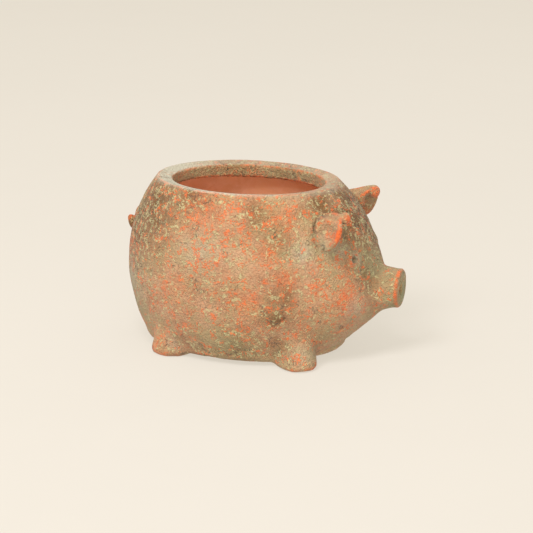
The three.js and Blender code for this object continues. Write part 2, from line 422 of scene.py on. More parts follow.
def shapePaw(at, side):
    angles = np.arange(paw["sides"]) / paw["sides"] * 2 * math.pi
    c, s = math.cos(at["turn"]), math.sin(at["turn"])

    def ring(z, inset):
        narrowing = 1 - paw["narrowing"] * (z / paw["top"]) ** 2
        along = (at["length"] - inset) * narrowing * np.cos(angles)
        across = (at["width"] - inset) * narrowing * np.sin(angles)
        x = mouthX + at["x"] - at["lean"] * z + along * c - across * s
        y = (-at["y"] + paw["tuck"] * z + along * s + across * c) * side
        return np.stack([x, y, np.full_like(x, z)], -1)

    edge = paw["edge"]
    rings = [ring(edge * (1 - math.cos(bend)), edge * (1 - math.sin(bend)))
             for bend in np.linspace(0, math.pi / 2, paw["bends"])]
    rings += [ring(z, 0) for z in np.linspace(edge, paw["top"], paw["rings"])[1:]]
    return distanceTo(loft(rings))


# The tail: a rolled cord of clay, curled once and a bit, thinner to its tip.

tail = dict(x=-93, z=98.5, coil=8.2, cord=3.9, rise=8.2, turns=1.35, taper=0.15, thin=0.3,
            tipFrom=0.97, tipLength=0.03, tipLeast=0.02, sides=24, steps=90, softness=2.5)


def shapeTail():
    angles = np.arange(tail["sides"]) / tail["sides"] * 2 * math.pi
    steps = np.linspace(0, 1, tail["steps"])
    turn = -math.pi / 2 - steps * tail["turns"] * 2 * math.pi
    coil = tail["coil"] * (1 - tail["taper"] * steps)
    x = mouthX + tail["x"] - tail["rise"] * tail["turns"] * steps
    line = np.stack([x, coil * np.cos(turn), tail["z"] + coil * np.sin(turn)], -1)
    heading = np.gradient(line, axis=0)
    heading /= np.linalg.norm(heading, axis=1)[:, None]
    outward = np.stack([np.zeros_like(turn), np.cos(turn), np.sin(turn)], -1)
    aside = np.cross(heading, outward)
    thickness = tail["cord"] * (1 - tail["thin"] * steps ** 2)
    intoTip = ((steps - tail["tipFrom"]) / tail["tipLength"]).clip(0, 1)
    thickness *= np.sqrt(np.clip(1 - intoTip ** 2, tail["tipLeast"], 1))
    rings = []
    for point, out, sideways, thick in zip(line, outward, aside, thickness):
        circle = np.cos(angles)[:, None] * out + np.sin(angles)[:, None] * sideways
        rings.append(point + circle * thick)
    return distanceTo(loft(rings))


# Everything pressed together: the luted pieces, then the hollow, then the small marks.

luted = {
    "snout": (shapeSnout(), snout["softness"]),
    "tail": (shapeTail(), tail["softness"]),
}
for sideName, side in (("right", 1), ("left", -1)):
    luted["foot_front_" + sideName] = (shapePaw(frontPaw, side), paw["softness"])
    luted["foot_rear_" + sideName] = (shapePaw(rearPaw, side), paw["softness"])
    luted["ear_" + sideName] = (shapeEar(side), ear["softness"])
    luted["eye_" + sideName] = (shapeEye(side), eye["softness"])

topField = cellZ - rimHigh[2] + lip["fall"] * np.clip(-potField / lip["width"], 0, lip["fallReach"])
hollowField = press(cavityField, openingField, lip["innerSoftness"])
skinField = trim(potField, topField.astype(np.float32), lip["softness"])
for field, softness in luted.values():
    skinField = press(skinField, field, softness)
skinField = cutAway(skinField, hollowField, lip["underSoftness"])
pressNostrils(skinField)
pressThumbs(skinField)
pressEyes(skinField)
print("pieces luted:", len(luted))


# The hand's relief: broad lumps and thumbed dips, fainter on the inner wall and the rim, and then
# a few marks of a nail.

relief = dict(
    seed=7, lattice=64, start=17.3,
    waves=[(34, 0.32), (15, 0.2), (6.5, 0.13), (3.4, 0.1)],      # size and height of the lumps
    insideShare=0.25, insideReach=1.5, insideFade=2,             # what is left of them indoors
    rimShare=0.4, rimFrom=4, rimFade=6,                          # and near the rim
    dips=46, dipBearing=(-180, 180), dipZ=(12, 128), dipSize=(7, 14), dipDepth=(0.1, 0.4),
)
nail = dict(steps=15, bow=1.2, width=1.3, softness=1.2)
grooves = [
    dict(bearing=-63, z=41, length=12, lean=0.35, depth=0.8),
    dict(bearing=118, z=60, length=11, lean=-0.5, depth=1.0),
    dict(bearing=-128, z=72, length=9, lean=0.9, depth=0.8),
]
chance = np.random.default_rng(relief["seed"])
lattice = chance.standard_normal((relief["lattice"],) * 3).astype(np.float32)


def cornersAround(part):              # the eight corners round each point, and their weights
    for i in (0, 1):
        for j in (0, 1):
            for k in (0, 1):
                weight = np.abs(1 - i - part[:, 0]) * np.abs(1 - j - part[:, 1])
                yield (i, j, k), weight * np.abs(1 - k - part[:, 2])


def lumps(points, size, shift=0.0):
    at = points / size + relief["start"] + shift
    cell = np.floor(at).astype(int)
    part = at - cell
    part = part * part * (3 - 2 * part)
    value = 0.0
    for step, weight in cornersAround(part):
        corner = (cell + step) % relief["lattice"]
        value = value + weight * lattice[corner[:, 0], corner[:, 1], corner[:, 2]]
    return value


nearSkin = np.abs(skinField) < 3 * clay["pitch"]
nearPoints = np.stack([cellX[nearSkin], cellY[nearSkin], cellZ[nearSkin]], -1)
height = sum(amount * lumps(nearPoints, size, size) for size, amount in relief["waves"])
for _ in range(relief["dips"]):
    spot = spotOn(chance.uniform(*relief["dipBearing"]), chance.uniform(*relief["dipZ"]))
    size = chance.uniform(*relief["dipSize"])
    depth = chance.uniform(*relief["dipDepth"])
    height -= depth * np.exp(-((nearPoints - spot) ** 2).sum(1) / size ** 2)
nearInside = relief["insideReach"] - np.abs(hollowField[nearSkin]) / relief["insideFade"]
height *= 1 - (1 - relief["insideShare"]) * np.clip(nearInside, 0, 1)
nearRim = np.clip((nearPoints[:, 2] - rimLow[2] + relief["rimFrom"]) / relief["rimFade"], 0, 1)
height *= 1 - (1 - relief["rimShare"]) * nearRim
skinField[nearSkin] -= height.astype(np.float32)

for groove in grooves:
    middle = spotOn(groove["bearing"], groove["z"])
    turn, tilt = facing(groove["bearing"], groove["z"])
    along = np.array([-math.sin(turn), math.cos(turn), 0])
    size = (groove["depth"], nail["width"], nail["width"])
    for step in np.linspace(-0.5, 0.5, nail["steps"]):
        drop = groove["length"] * (step ** 2 * nail["bow"] + step * groove["lean"])
        spot = middle + along * groove["length"] * step + np.array([0, 0, drop])
        dent(skinField, spot, size, nail["softness"], turn, tilt)
print("relief worked in, cells:", len(nearPoints))


# The skin as one mesh, with what the ageing needs to know about every point of it.

def softened(field, cells):
    for axis in range(3):
        field = sum(np.roll(field, shift, axis) for shift in range(-cells, cells + 1))
        field = field / (2 * cells + 1)
    return field


def sample(field, points):
    at = points / clay["pitch"] - firstCell
    cell = np.floor(at).astype(int)
    value = 0.0
    for (i, j, k), weight in cornersAround(at - cell):
        value = value + weight * field[cell[:, 0] + i, cell[:, 1] + j, cell[:, 2] + k]
    return value


def ramp(value, low, high):
    share = np.clip((value - low) / (high - low), 0, 1)
    return share * share * (3 - 2 * share)


volume = openvdb.FloatGrid(float(clay["pitch"] * clay["reach"]))
firstIndex = tuple(int(cell) for cell in firstCell)
volume.copyFromArray(np.ascontiguousarray(skinField, np.float32), ijk=firstIndex)
volume.transform = openvdb.createLinearTransform(clay["pitch"])
skinPoints, skinQuads = volume.convertToQuads(0.0)
skinPoints = skinPoints.astype(float)
skinQuads = skinQuads.astype(int)
diagonals = skinPoints[skinQuads[:, 2]] - skinPoints[skinQuads[:, 0]]
otherDiagonals = skinPoints[skinQuads[:, 3]] - skinPoints[skinQuads[:, 1]]
quadNormals = np.cross(diagonals, otherDiagonals)
skinNormals = np.zeros_like(skinPoints)
for corner in range(4):
    np.add.at(skinNormals, skinQuads[:, corner], quadNormals)
skinNormals /= np.linalg.norm(skinNormals, axis=1)[:, None] + 1e-9
print("skin meshed, faces:", len(skinQuads))

# Rows of bearing, height, size, strength and sometimes a distance off the egg: where smudges,
# film, dust and bare clay show.
ageing = dict(
    smudge=[(-140, 124, 38, 1.2), (-156, 100, 36, 1.3), (-165, 72, 26, 0.8), (-112, 138, 22, 0.8),
            (-73, 128, 14, 0.6), (-62, 112, 11, 0.6), (-62, 66, 13, 0.7), (-63, 46, 13, 0.9),
            (-2, 122, 32, 1.6), (16, 100, 26, 1.3), (-30, 136, 20, 1.0), (-16, 77, 13, 0.9),
            (-101, 70, 9, 0.4), (-80, 16, 20, 0.7), (-60, 20, 12, 0.6), (-40, 14, 9, 0.5),
            (-112, 6, 26, 0.6), (0, 60, 15, 1.0, 30), (70, 140, 40, 0.8), (115, 140, 36, 0.8),
            # the row below is painted shadow under the top rim of the near ear's dish
            (-40, 128, 4, 0.7, 12)],
    film=[(-24, 90, 10, 1.2), (0, 60, 24, 1.4, 18), (-8, 84, 16, 0.9), (-36, 110, 12, 0.6),
          (-62, 100, 10, 0.5), (-85, 18, 22, 0.5), (-155, 45, 28, 0.8), (-47, 12, 13, 0.9, 4),
          (-64, 118, 12, 0.6), (-95, 112, 14, 0.4), (-43, 109, 6, 0.9, 10), (43, 120, 14, 1.0, 8)],
    dust=[(-153, 60, 20, 0.5), (-36, 108, 9, 0.8), (-31, 98, 8, 0.6), (-98, 100, 18, 0.4),
          (-119, 12, 8, 0.5), (-47, 12, 9, 0.7, 6), (-25, 50, 10, 0.4), (-52, 100, 9, 0.5),
          (-24, 91, 6, 0.7)],
    bare=[(-67, 101, 9, 0.6), (-76, 58, 12, 0.7), (-60, 80, 9, 0.8), (-32, 62, 10, 0.9),
          (-128, 6, 14, 0.9), (-112, 62, 16, 0.5), (-46, 68, 10, 0.5), (-28, 88, 8, 0.5),
          (-100, 124, 20, 0.5), (-60, 126, 12, 0.5), (-43, 122, 6, 0.7, 12)],
    strayCount=22, strayBearing=(15, 200), strayZ=(15, 130), straySize=(9, 18),
    strayStrength=dict(smudge=0.8, film=0.6, dust=0.5, bare=0.6),
)


def strays(amount):                    # more of the same on the far side and the rump
    return [(chance.uniform(*ageing["strayBearing"]), chance.uniform(*ageing["strayZ"]),
             chance.uniform(*ageing["straySize"]), amount) for _ in range(ageing["strayCount"])]


def patchesOf(name):
    total = np.zeros(len(skinPoints))
    for bearing, z, size, amount, *out in ageing[name] + strays(ageing["strayStrength"][name]):
        spot = spotOn(bearing, z, *out)
        total = np.maximum(total, amount * np.exp(-((skinPoints - spot) ** 2).sum(1) / size ** 2))
    return total


# What the skin tells its material: where each mark starts and is full, and the share it has.
marking = dict(
    wear=(0.5, 1.3), wearFine=(0.09, 0.22), wearFineShare=0.25, dishKept=0.85,
    hollow=(0.15, 0.8), hollowFine=(0.05, 0.18), hollowShare=0.8, hollowFineShare=0.4,
    collarBack=1.4, collarWidth=1.1, collarSide=(-4, 6),
    lipDrop=(-4.5, -2.5), lipFlat=(0.5, 0.8), lipLeast=0.3, lipSide=(-20, 60),
    bandNear=(-2.0, -0.8), bandZ=(-1, 2), cavityNear=2.2, cavityOver=1.5,
)


edges = sample(softened(softened(skinField, 2), 2), skinPoints)
fineEdges = sample(softened(skinField, 1), skinPoints)
closeness = {node: sample(field, skinPoints) for node, (field, _) in luted.items()}
potCloseness = sample(potField, skinPoints)
x, y, z = skinPoints.T
inCavity = np.abs(sample(cavityField, skinPoints)) < marking["cavityNear"]
inCavity &= z < ceiling + marking["cavityOver"]


def wornEdges():                       # ridges, but not the floor of the ears' dishes
    inDish = 0.0
    for side in (-1, 1):
        away = ((skinPoints - placed(earDish["floor"], side)) ** 2).sum(1)
        inDish = inDish + np.exp(-away / earDish["floorSize"] ** 2)
    fine = ramp(fineEdges, *marking["wearFine"]) * marking["wearFineShare"]
    return (ramp(edges, *marking["wear"]) + fine) * (1 - marking["dishKept"] * inDish)


# concave places, broad and fine; the clay materials darken them as painted shade
def hollows():
    deep = ramp(-edges, *marking["hollow"]) * marking["hollowShare"]
    return deep + ramp(-fineEdges, *marking["hollowFine"]) * marking["hollowFineShare"]


def collarLine():                      # a line round the snout's end, on its right side only
    away = (x - snoutEnd + marking["collarBack"]) / marking["collarWidth"]
    return np.exp(-away ** 2) * ramp(-y, *marking["collarSide"])


def innerBand():
    near = ramp(-np.abs(sample(hollowField, skinPoints)), *marking["bandNear"])
    return near * ramp(z, *(ceiling + step for step in marking["bandZ"]))


def lipDustAndHighlight():                          # the flat of the rim, paler towards the rear: dust on the upward face, and a painted highlight on the side the key lamp lights
    top = ramp(z, *(rimHigh[2] + step for step in marking["lipDrop"]))
    top = top * ramp(skinNormals[:, 2], *marking["lipFlat"])
    least = marking["lipLeast"]
    return top * (least + (1 - least) * ramp(mouthX - x - y, *marking["lipSide"]))


marks = {"wear": wornEdges(), "collar": collarLine(), "hollow": hollows()}
for name in ("smudge", "film", "dust", "bare"):
    marks[name] = patchesOf(name)
marks.update(band=innerBand(), lip=lipDustAndHighlight(), indoors=inCavity.astype(float))


# Parting the skin along its joints.

joint = dict(sunk=5.5, bandDrop=1.8, votes=3, rounds=6, leastIsland=1500, fullTurn=6)


def splitLabels():                     # the luted piece whose own shape is nearest has the point
    names = ["pot_body", "mouth_rim"] + list(luted)
    vertexLabel = np.zeros(len(skinPoints), int)
    best = potCloseness.copy()
    for index, node in enumerate(luted, start=2):
        closer = closeness[node] < best
        vertexLabel[closer] = index
        best = np.minimum(best, closeness[node])
    vertexLabel[inCavity] = 0
    rimmed = (vertexLabel == 0) & (skinPoints[:, 2] > ceiling - joint["bandDrop"])
    vertexLabel[rimmed] = 1
    faceLabels = np.sort(vertexLabel[skinQuads], axis=1)[:, 2]
    return names, homeIslands(tidyLabels(faceLabels, len(names)))


def sharedSides():                     # the two faces on each side that two faces share
    sides = np.sort(np.stack([skinQuads, np.roll(skinQuads, -1, 1)], -1).reshape(-1, 2), 1)
    owner = np.repeat(np.arange(len(skinQuads)), 4)
    order = np.lexsort((sides[:, 1], sides[:, 0]))
    sides, owner = sides[order], owner[order]
    same = (sides[1:] == sides[:-1]).all(1)
    return owner[:-1][same], owner[1:][same]


def tidyLabels(labels, count):         # a face that most of its neighbours disown goes over to them
    first, second = sharedSides()
    for _ in range(joint["rounds"]):
        votes = np.zeros((len(labels), count), int)
        np.add.at(votes, (first, labels[second]), 1)
        np.add.at(votes, (second, labels[first]), 1)
        winner = votes.argmax(1)
        swap = (votes.max(1) >= joint["votes"]) & (winner != labels)
        labels = np.where(swap, winner, labels)
    return labels


def homeIslands(labels):               # a small island of one piece goes to the piece around it
    neighbours = [[] for _ in labels]
    for a, b in zip(*(side.tolist() for side in sharedSides())):
        neighbours[a].append(b)
        neighbours[b].append(a)
    labels = labels.copy()
    seen = np.zeros(len(labels), bool)
    islands = {}
    for first in range(len(labels)):
        if seen[first]:
            continue
        label, island, queue, shores = labels[first], [], [first], []
        seen[first] = True
        while queue:
            face = queue.pop()
            island.append(face)
            for other in neighbours[face]:
                if labels[other] != label:
                    shores.append(labels[other])
                elif not seen[other]:
                    seen[other] = True
                    queue.append(other)
        islands.setdefault(label, []).append((len(island), island, shores))
    for label, found in islands.items():       # the pot and its band show an outer and an inner face
        for size, island, shores in sorted(found, key=lambda one: -one[0]):
            largest = max(one[0] for one in found)
            big = size > joint["leastIsland"] if label < 2 else size == largest
            if not big and shores:
                labels[island] = np.bincount(shores).argmax()
    return labels


def loopsOf(edges):                    # open edges, walked round into simple loops of points
    left, loops = set(edges), []
    while left:
        path = [next(iter(left)).verts[0]]
        while path:
            edge = next((e for e in path[-1].link_edges if e in left), None)
            if edge is None:
                break
            left.discard(edge)
            point = edge.other_vert(path[-1])
            if point in path:
                first = path.index(point)
                loops.append(path[first:])
                path = path[:first + 1]
            else:
                path.append(point)
    return loops


def bearingOf(vert):                   # round the mouth's axis
    return math.atan2(vert.co.y, vert.co.x - mouthX * mm)


def bearings(loop):                    # how far round the mouth's axis each point of a loop has come
    turns = np.unwrap([bearingOf(vert) for vert in loop + loop[:1]])
    return turns - turns[0]


def zipWall(shape, outer, inner):      # the wall's outer and inner edge, closed straight across
    chains = []
    for loop in (outer, inner):
        loop = loop if bearings(loop)[-1] > 0 else loop[::-1]
        first = int(np.argmin((bearings(loop)[:-1] + bearingOf(loop[0])) % (2 * math.pi)))
        loop = loop[first:] + loop[:first]
        chains.append((loop + loop[:1], bearings(loop)))
    (outer, outerTurns), (inner, innerTurns) = chains
    i = j = 0
    while i < len(outer) - 1 or j < len(inner) - 1:
        innerDone = j == len(inner) - 1
        outerNext = i < len(outer) - 1 and (innerDone or outerTurns[i + 1] <= innerTurns[j + 1])
        third = outer[i + 1] if outerNext else inner[j + 1]
        shape.faces.new((outer[i], inner[j], third))
        i, j = (i + 1, j) if outerNext else (i, j + 1)


def closeRims(shape, node):            # every open edge is closed inside the clay, out of sight
    if node in ("pot_body", "mouth_rim"):
        openEdges = [e for e in shape.edges if e.is_boundary]
        rounds = [loop for loop in loopsOf(openEdges) if abs(bearings(loop)[-1]) > joint["fullTurn"]]
        zipWall(shape, *rounds[:2])
    filled = bmesh.ops.holes_fill(shape, edges=[e for e in shape.edges if e.is_boundary], sides=0)
    poked = bmesh.ops.poke(shape, faces=[f for f in filled["faces"] if len(f.verts) > 4])
    pressed = shape.verts.layers.float_vector["pressed"]
    for middle in poked["verts"]:
        ring = [e.other_vert(middle) for e in middle.link_edges]
        out = sum((v[pressed] for v in ring), Vector()).normalized()
        middle.co = sum((v.co for v in ring), Vector()) / len(ring) - out * joint["sunk"] * mm
    bmesh.ops.triangulate(shape, faces=[f for f in shape.faces if len(f.verts) > 4])


def pieceOf(node, faces):
    used, corners = np.unique(skinQuads[faces], return_inverse=True)
    mesh = bpy.data.meshes.new("fired_" + node)
    mesh.from_pydata((skinPoints[used] * mm).tolist(), [], corners.reshape(-1, 4).tolist())
    for name, values in marks.items():
        layer = mesh.attributes.new(name, "FLOAT", "POINT")
        layer.data.foreach_set("value", values[used].astype(np.float32))
    normals = mesh.attributes.new("pressed", "FLOAT_VECTOR", "POINT")
    normals.data.foreach_set("vector", skinNormals[used].astype(np.float32).ravel())
    shape = bmesh.new()
    shape.from_mesh(mesh)
    closeRims(shape, node)
    shape.to_mesh(mesh)
    shape.free()
    vectors = np.zeros(len(mesh.vertices) * 3, np.float32)
    mesh.attributes["pressed"].data.foreach_get("vector", vectors)
    vectors = vectors.reshape(-1, 3)
    blank = np.linalg.norm(vectors, axis=1) < 0.5      # the sunk middles, which the skin didn't have
    own = np.array([v.normal for v in mesh.vertices])
    vectors[blank] = own[blank]
    mesh.attributes.remove(mesh.attributes["pressed"])
    mesh.polygons.foreach_set("use_smooth", [True] * len(mesh.polygons))
    mesh.normals_split_custom_set_from_vertices(vectors.tolist())
    return stand("fired_" + node, mesh)


pieceNames, faceLabels = splitLabels()
pieces = {}
for index, node in enumerate(pieceNames):
    faces = np.where(faceLabels == index)[0]
    pieces[node] = pieceOf(node, faces)
    print("   ", node, "faces", len(faces))
print("parted into pieces:", len(pieces))


# Materials. The small helpers lay nodes, and every effect used twice is a group with named sockets.

def lay(tree, kind, feeds=None, **settings):
    node = tree.nodes.new("ShaderNode" + kind)
    for name, value in settings.items():
        setattr(node, name, value)
    for socket, value in (feeds or {}).items():
        if isinstance(value, bpy.types.NodeSocket):
            tree.links.new(value, node.inputs[socket])
        else:
            node.inputs[socket].default_value = value
    return node


def place(tree, group, feeds):
    return lay(tree, "Group", feeds, node_tree=group).outputs


def sums(tree, operation, a, b=0.0, clamp=False):
    return lay(tree, "Math", {0: a, 1: b}, operation=operation, use_clamp=clamp).outputs[0]


def over(tree, share, under, top, how="MIX"):      # one colour laid over another
    mixer = lay(tree, "Mix", {0: share, 6: under, 7: top}, data_type="RGBA", blend_type=how)
    return mixer.outputs[2]


def between(tree, value, low, high):               # a soft step from low to high
    feeds = {"Value": value, "From Min": low, "From Max": high}
    return lay(tree, "MapRange", feeds, interpolation_type="SMOOTHSTEP").outputs[0]


def mark(tree, name):                              # what the skin knows about a point
    return lay(tree, "Attribute", attribute_name=name).outputs["Fac"]


def colour(red, green, blue):                      # from the 0 to 255 that a screen shows
    shown = [part / 255 for part in (red, green, blue)]
    return [((p + 0.055) / 1.055) ** 2.4 if p > 0.04045 else p / 12.92 for p in shown] + [1]


def newGroup(name, inputs, outputs):               # takes a position and numbers, gives numbers
    group = bpy.data.node_groups.new(name, "ShaderNodeTree")
    group.interface.new_socket("Position", in_out="INPUT", socket_type="NodeSocketVector")
    for label, start in inputs.items():
        socket = group.interface.new_socket(label, in_out="INPUT", socket_type="NodeSocketFloat")
        socket.default_value = start
    for label in outputs:
        group.interface.new_socket(label, in_out="OUTPUT", socket_type="NodeSocketFloat")
    arrive = group.nodes.new("NodeGroupInput")
    leave = group.nodes.new("NodeGroupOutput")
    return group, arrive.outputs, leave.inputs


def noise(tree, position, shift, scale, kind):
    feeds = {"Vector": position, "W": shift, "Scale": scale, **kind}
    return lay(tree, "TexNoise", feeds, noise_dimensions="4D").outputs[0]


def stretched(tree, value):                        # noise keeps near its middle, so it is spread out
    return between(tree, value, *patchy["spread"])


patchy = dict(spread=(0.3, 0.7), finer=5.5, fineShift=2.3,
              broad={"Detail": 4.0, "Roughness": 0.55, "Distortion": 0.4},
              fine={"Detail": 4.0, "Roughness": 0.6, "Distortion": 0.8})
worm = dict(outline=1.9, cutScale=0.6, cutShift=4.7, fade=0.2,
            bends={"Detail": 1.0, "Roughness": 0.4, "Distortion": 0.7}, cuts={"Detail": 3.0})
speckle = dict(pitScale=0.33, pitEdge=(0.04, 0.24), pitFew=(0.55, 0.75),
               grain={"Detail": 5.0, "Roughness": 0.65})


def patchGroup():                                  # cover with a ragged edge, more of it where asked
    inputs = {"Per metre": 60.0, "Shift": 0.0, "Amount": 0.5, "Edge": 0.1, "Fine share": 0.4}
    group, given, gives = newGroup("patchyCover", inputs, ["Cover"])
    broad = noise(group, given["Position"], given["Shift"], given["Per metre"], patchy["broad"])
    finer = sums(group, "MULTIPLY", given["Per metre"], patchy["finer"])
    shifted = sums(group, "ADD", given["Shift"], patchy["fineShift"])
    fine = noise(group, given["Position"], shifted, finer, patchy["fine"])
    feeds = {0: given["Fine share"], 2: stretched(group, broad), 3: stretched(group, fine)}
    both = lay(group, "Mix", feeds, data_type="FLOAT").outputs[0]
    level = sums(group, "SUBTRACT", 1.0, given["Amount"])
    low = sums(group, "SUBTRACT", level, given["Edge"])
    high = sums(group, "ADD", level, given["Edge"])
    group.links.new(between(group, both, low, high), gives["Cover"])
    return group


def strokeGroup():                                 # short worm-like strokes with a darker outline
    inputs = {"Per metre": 200.0, "Shift": 0.0, "Width": 0.1, "Amount": 0.5}
    group, given, gives = newGroup("wormStrokes", inputs, ["Strokes", "Outline", "Ridge"])
    bend = noise(group, given["Position"], given["Shift"], given["Per metre"], worm["bends"])
    off = sums(group, "ABSOLUTE", sums(group, "SUBTRACT", bend, 0.5))
    ridge = sums(group, "SUBTRACT", 1.0, between(group, off, 0.0, given["Width"]))
    wider = sums(group, "MULTIPLY", given["Width"], worm["outline"])
    within = sums(group, "SUBTRACT", 1.0, between(group, off, given["Width"], wider))
    around = sums(group, "SUBTRACT", within, ridge)
    shorter = sums(group, "MULTIPLY", given["Per metre"], worm["cutScale"])
    shifted = sums(group, "ADD", given["Shift"], worm["cutShift"])
    cut = noise(group, given["Position"], shifted, shorter, worm["cuts"])
    level = sums(group, "SUBTRACT", 1.0, given["Amount"])
    full = sums(group, "ADD", level, worm["fade"])
    keep = between(group, stretched(group, cut), level, full)
    group.links.new(sums(group, "MULTIPLY", ridge, keep), gives["Strokes"])
    group.links.new(sums(group, "MULTIPLY", around, keep, clamp=True), gives["Outline"])
    group.links.new(ridge, gives["Ridge"])
    return group


def grainGroup():                                  # the grain of fired clay, with small pits
    group, given, gives = newGroup("clayGrain", {"Per metre": 900.0}, ["Grain", "Pits"])
    feeds = {"Vector": given["Position"], "Scale": given["Per metre"], **speckle["grain"]}
    grain = lay(group, "TexNoise", feeds)
    pitScale = sums(group, "MULTIPLY", given["Per metre"], speckle["pitScale"])
    cells = lay(group, "TexVoronoi", {"Vector": given["Position"], "Scale": pitScale})
    size = lay(group, "SeparateColor", {0: cells.outputs["Color"]}).outputs[0]
    pits = sums(group, "SUBTRACT", 1.0, between(group, cells.outputs["Distance"], *speckle["pitEdge"]))
    group.links.new(grain.outputs[0], gives["Grain"])
    few = between(group, size, *speckle["pitFew"])
    group.links.new(sums(group, "MULTIPLY", pits, few), gives["Pits"])
    return group


patchyCover = patchGroup()
wormStrokes = strokeGroup()
clayGrain = grainGroup()

tones = dict(
    clay=colour(166, 122, 90), clayPink=colour(176, 138, 106), clayBright=colour(206, 96, 44),
    clayDeep=colour(144, 92, 58), sage=colour(152, 139, 100), sagePale=colour(180, 174, 130),
    film=colour(128, 126, 90), dust=colour(174, 171, 154), smudge=colour(104, 72, 34),
    # dark brown for the scrape strokes, and for the painted shade in creases and hollows
    darkStrokeAndShade=colour(60, 47, 28),
    # the inner wall's tones are paler than its clay: painted light that makes up for the shade inside the
    # pot
    inside=colour(238, 182, 142), insidePale=colour(242, 192, 160), insideDeep=colour(226, 162, 122),
)


def newMaterial(name, roughness):
    material = bpy.data.materials.new(name)
    material.use_nodes = True
    tree = material.node_tree
    shader = tree.nodes["Principled BSDF"]
    shader.inputs["Roughness"].default_value = roughness
    return material, tree, shader


def amountOf(tree, layer):                         # more of it where the skin is marked
    if "on" not in layer:
        return layer["amount"]
    feeds = {0: mark(tree, layer["on"]), 1: layer["gain"], 2: layer["amount"]}
    return lay(tree, "Math", feeds, operation="MULTIPLY_ADD").outputs[0]


def coverOf(tree, where, layer):
    feeds = {"Position": where, "Per metre": layer["perMetre"], "Shift": layer["shift"],
             "Amount": amountOf(tree, layer), "Edge": layer["edge"], "Fine share": layer.get("fine", 0.4)}
    return place(tree, patchyCover, feeds)[0]


def strokesOf(tree, where, layer):
    feeds = {"Position": where, "Per metre": layer["perMetre"], "Shift": layer["shift"],
             "Width": layer["width"], "Amount": amountOf(tree, layer)}
    return place(tree, wormStrokes, feeds)


def coat(tree, under, cover, strength, tone):
    return over(tree, sums(tree, "MULTIPLY", cover, strength, clamp=True), under, tones[tone])


# Outside, from the clay up: blotches, washes where the skin is marked, strokes, and last coats: dust and
# a painted highlight on the rim's top, painted shade in the hollows, wear on edges and on the snout's
# collar.
weathered = dict(
    roughness=0.85, roughFrom=0.72, roughTo=0.95, specular=0.3, sheen=0.12, sheenRoughness=0.5,
    grainPerMetre=800.0, grainHeight=0.35, pitHeight=-0.5, bumpDistance=0.0012,
    pink=dict(perMetre=26.0, shift=1.0, amount=0.5, edge=0.35, fine=0.2),
    blotches=[
        dict(tone="clayDeep", strength=0.4, perMetre=60.0, shift=5.0, amount=0.36, edge=0.3),
        dict(tone="sage", strength=0.6, perMetre=34.0, shift=3.0, amount=0.46, edge=0.3, fine=0.35),
        dict(tone="smudge", strength=0.45, perMetre=90.0, shift=4.0, amount=0.12, edge=0.25, fine=0.45,
             on="smudge", gain=0.3),
    ],
    washes=[("smudge", "smudge", 1.0), ("film", "film", 0.9), ("dust", "dust", 0.8),
            ("bare", "clayBright", 0.42)],
    wash=dict(perMetre=70.0, shift=20.0, amount=0.5, edge=0.4), washLeast=0.6,
    rubbed=dict(tone="clayBright", strength=0.62, perMetre=270.0, shift=2.0, amount=0.12, edge=0.22,
                fine=0.55, on="bare", gain=0.32),
    pale=dict(tone="sagePale", strength=0.66, perMetre=390.0, shift=0.0, width=0.14, amount=0.34,
              on="smudge", gain=0.2, height=0.4, outline=0.32),
    bright=dict(tone="clayBright", strength=0.75, perMetre=280.0, shift=9.0, width=0.09, amount=0.44,
                on="bare", gain=0.3, height=0.25),
    scrapes=dict(tone="darkStrokeAndShade", strength=0.34, perMetre=190.0, shift=15.0, width=0.04, amount=0.16,
                 on="smudge", gain=0.22, height=-0.9),
    band=0.35,
    lastCoats=[
        # the lip coat: dust and a painted highlight on the rim's top
        dict(mark="lip", tone="dust", strength=0.9, perMetre=70.0, shift=12.0, amount=0.8, edge=0.3),
        # painted shade: creases, pits and joins darkened
        dict(mark="hollow", tone="darkStrokeAndShade", strength=0.35, perMetre=160.0, shift=7.0, amount=0.75,
             edge=0.25),
        dict(mark="wear", tone="clayBright", strength=0.8, perMetre=90.0, shift=8.0, amount=0.5,
             edge=0.2),
        dict(mark="collar", tone="clayBright", strength=0.9, perMetre=120.0, shift=14.0, amount=0.68,
             edge=0.2),
    ],
)


